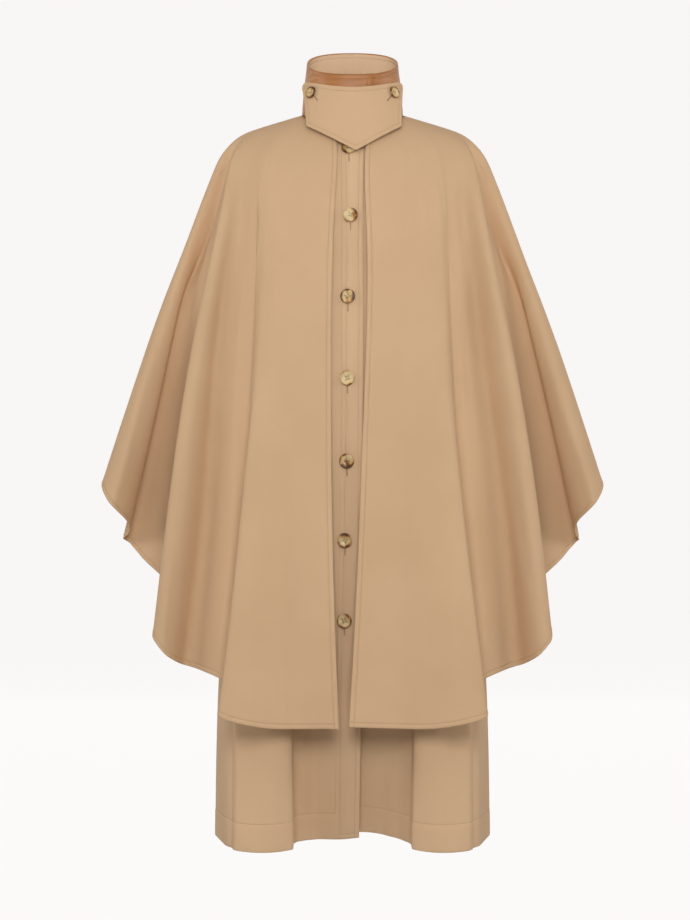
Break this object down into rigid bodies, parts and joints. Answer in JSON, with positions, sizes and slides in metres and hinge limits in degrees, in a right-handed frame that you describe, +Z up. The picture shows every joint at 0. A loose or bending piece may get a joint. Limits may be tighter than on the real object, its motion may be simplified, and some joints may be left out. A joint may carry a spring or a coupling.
{
  "type": "cape coat",
  "caption": "Cape coat: a sleeveless A-line coat with a buttoned placket under a full cape, with a leather stand collar and a buttoned throat flap.",
  "frame": {"origin": "middle of the neck, level with the side neck points, where the wearer's shoulders carry the garment", "axes": "+Z up; the front faces -Y; +X to the wearer's left"},
  "size_m": [0.806, 0.428, 1.2661],
  "materials": {
    "gabardine": "matt camel cotton twill",
    "leather": "smooth tan leather, satin",
    "horn": "polished horn, pale with brown marbling"
  },
  "bodies": {
    "root": {"cape_front_right": "gabardine", "cape_front_left": "gabardine", "cape_back": "gabardine", "coat_front_right": "gabardine", "coat_front_left": "gabardine", "coat_back": "gabardine", "placket": "gabardine", "collar_outer": "leather", "collar_inner": "gabardine", "throat_flap": "gabardine", "button_1": "horn", "button_2": "horn", "button_3": "horn", "button_4": "horn", "button_5": "horn", "button_6": "horn", "button_7": "horn", "flap_button_right": "horn", "flap_button_left": "horn"}
  },
  "joints": []
}
